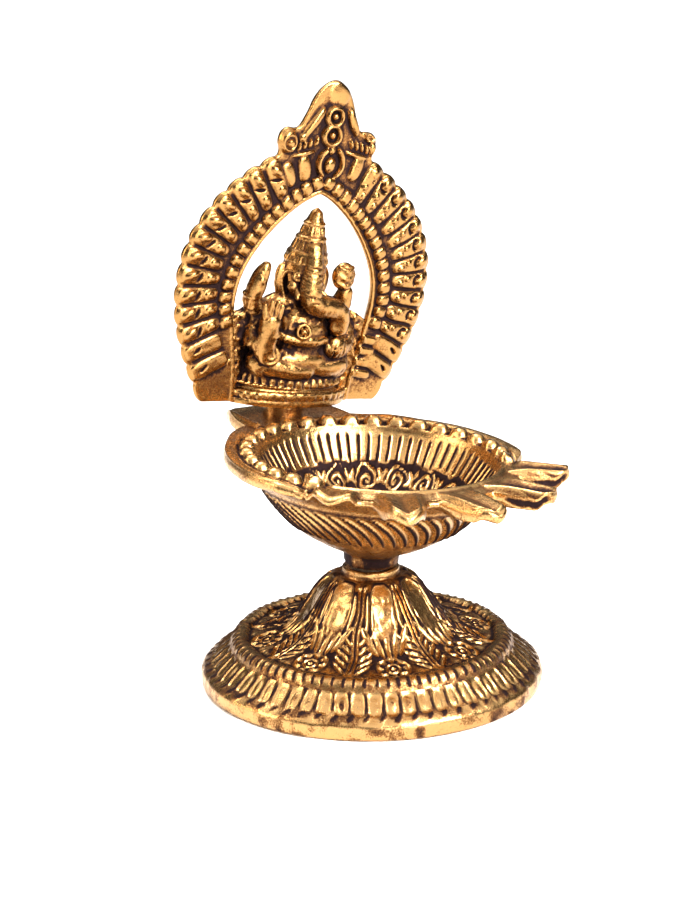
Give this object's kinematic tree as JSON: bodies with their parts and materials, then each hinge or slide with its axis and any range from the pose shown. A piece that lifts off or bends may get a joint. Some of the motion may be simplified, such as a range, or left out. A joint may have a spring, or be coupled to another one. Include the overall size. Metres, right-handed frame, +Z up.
{
  "type": "diya oil lamp",
  "caption": "Cast brass diya: bell-shaped base, spouted oil bowl with a beaded rim, and an ornate arch framing a seated elephant-headed deity on the bowl's rear tab.",
  "frame": {"origin": "middle of the round base's footprint, on the surface it stands on", "axes": "+Z up, the middle spout points to -Y, the arch stands at +Y, +X to the right seen from the front"},
  "size_m": [0.0777, 0.0916, 0.1292],
  "materials": {
    "base_brass": "polished cast brass with dark brown patina in the relief",
    "bowl_brass": "polished cast brass, dark patina in the slits and serrations",
    "arch_brass": "cast brass, satin, dark patina between the lobes",
    "figure_brass": "cast brass, satin, slightly grainy",
    "nut_brass": "plain machined brass",
    "stud_steel": "plain zinc-plated steel"
  },
  "bodies": {
    "base": {"base_casting": "base_brass"},
    "bowl": {"lamp_bowl": "bowl_brass", "centre_stud": "stud_steel", "clamp_washer": "stud_steel", "clamp_nut": "nut_brass"},
    "arch": {"arch_casting": "arch_brass", "ganesha_figure": "figure_brass", "arch_screw": "stud_steel", "arch_washer": "stud_steel"}
  },
  "joints": [
    {"name": "bowl_turn", "type": "hinge", "parent": "base", "child": "bowl", "pos_m": [0, 0, 0.0262], "axis": [0.0563, -0.0366, 0.9977], "continuous": true},
    {"name": "arch_swivel", "type": "hinge", "parent": "bowl", "child": "arch", "pos_m": [0.00163, 0.03764, 0.05575], "axis": [0.1413, -0.0867, 0.9862], "range_deg": [-20, 20]}
  ]
}
